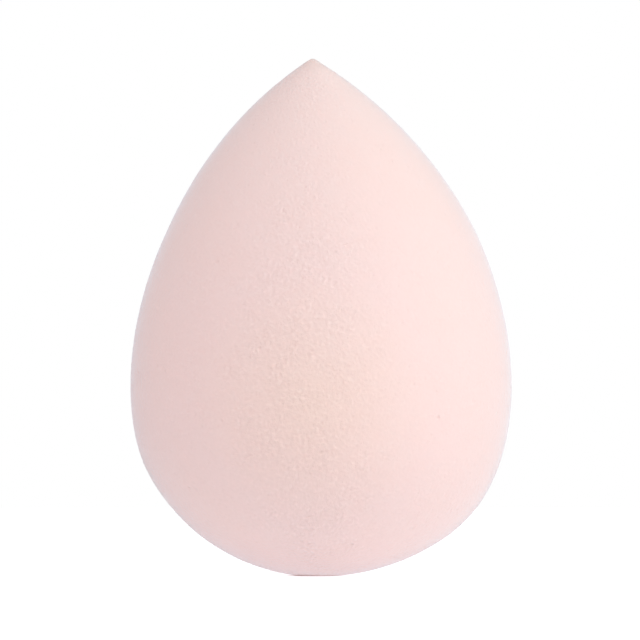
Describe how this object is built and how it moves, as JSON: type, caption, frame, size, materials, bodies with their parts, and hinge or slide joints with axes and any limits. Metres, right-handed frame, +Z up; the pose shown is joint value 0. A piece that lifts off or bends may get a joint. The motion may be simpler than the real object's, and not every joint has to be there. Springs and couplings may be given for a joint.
{
  "type": "makeup sponge",
  "caption": "Teardrop makeup sponge of soft open-cell foam: a point for small areas above a round belly that dabs and blends cosmetics.",
  "frame": {"origin": "centre of the small flat at the bottom, on which the sponge stands", "axes": "+Z up through the point; the foam is round about Z, and -Y faces the viewer of the picture, with +X to the right"},
  "size_m": [0.0443, 0.0442, 0.06],
  "materials": {
    "foam": "matte"
  },
  "bodies": {
    "root": {"foam_body": "foam"}
  },
  "joints": []
}
